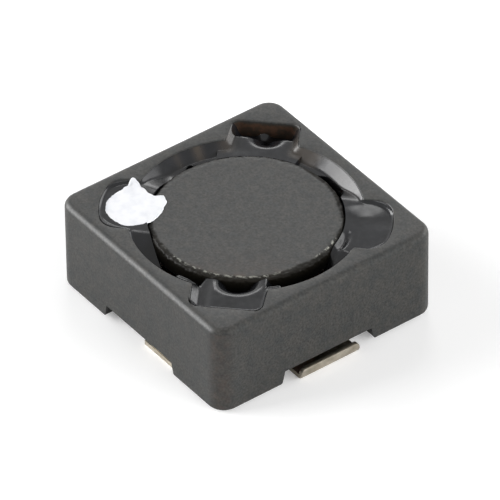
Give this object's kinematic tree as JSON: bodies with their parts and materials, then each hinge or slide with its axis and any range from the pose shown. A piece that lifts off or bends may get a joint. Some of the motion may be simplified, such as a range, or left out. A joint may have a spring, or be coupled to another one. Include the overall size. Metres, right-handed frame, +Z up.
{
  "type": "shielded surface-mount inductor",
  "caption": "Low shielded power inductor for reflow soldering: a wire-wound ferrite drum core potted into a square ferrite shield, with clip terminals on opposite sides.",
  "frame": {"origin": "middle of the body's footprint, on the board plane that the terminals' solder faces rest on", "axes": "+Z up from the board, +X towards the finish terminal, +Y towards the notch that holds the start terminal's wire tab"},
  "size_m": [0.0104, 0.01, 0.004],
  "materials": {
    "ferrite": "matt, fine sintered grain",
    "enamelled_copper": "glossy clear enamel over copper",
    "tinned_bronze": "dull tin plate with bright cut edges",
    "solder": "smooth, slightly dull",
    "epoxy": "glossy black potting resin",
    "white_paint": "opaque ink, slightly glossy"
  },
  "bodies": {
    "root": {"shield_core": "ferrite", "drum_core": "ferrite", "winding": "enamelled_copper", "start_terminal": "tinned_bronze", "finish_terminal": "tinned_bronze", "start_solder": "solder", "finish_solder": "solder", "start_adhesive": "epoxy", "finish_adhesive": "epoxy", "right_epoxy": "epoxy", "left_epoxy": "epoxy", "front_epoxy": "epoxy", "back_epoxy": "epoxy", "polarity_mark": "white_paint"}
  },
  "joints": []
}
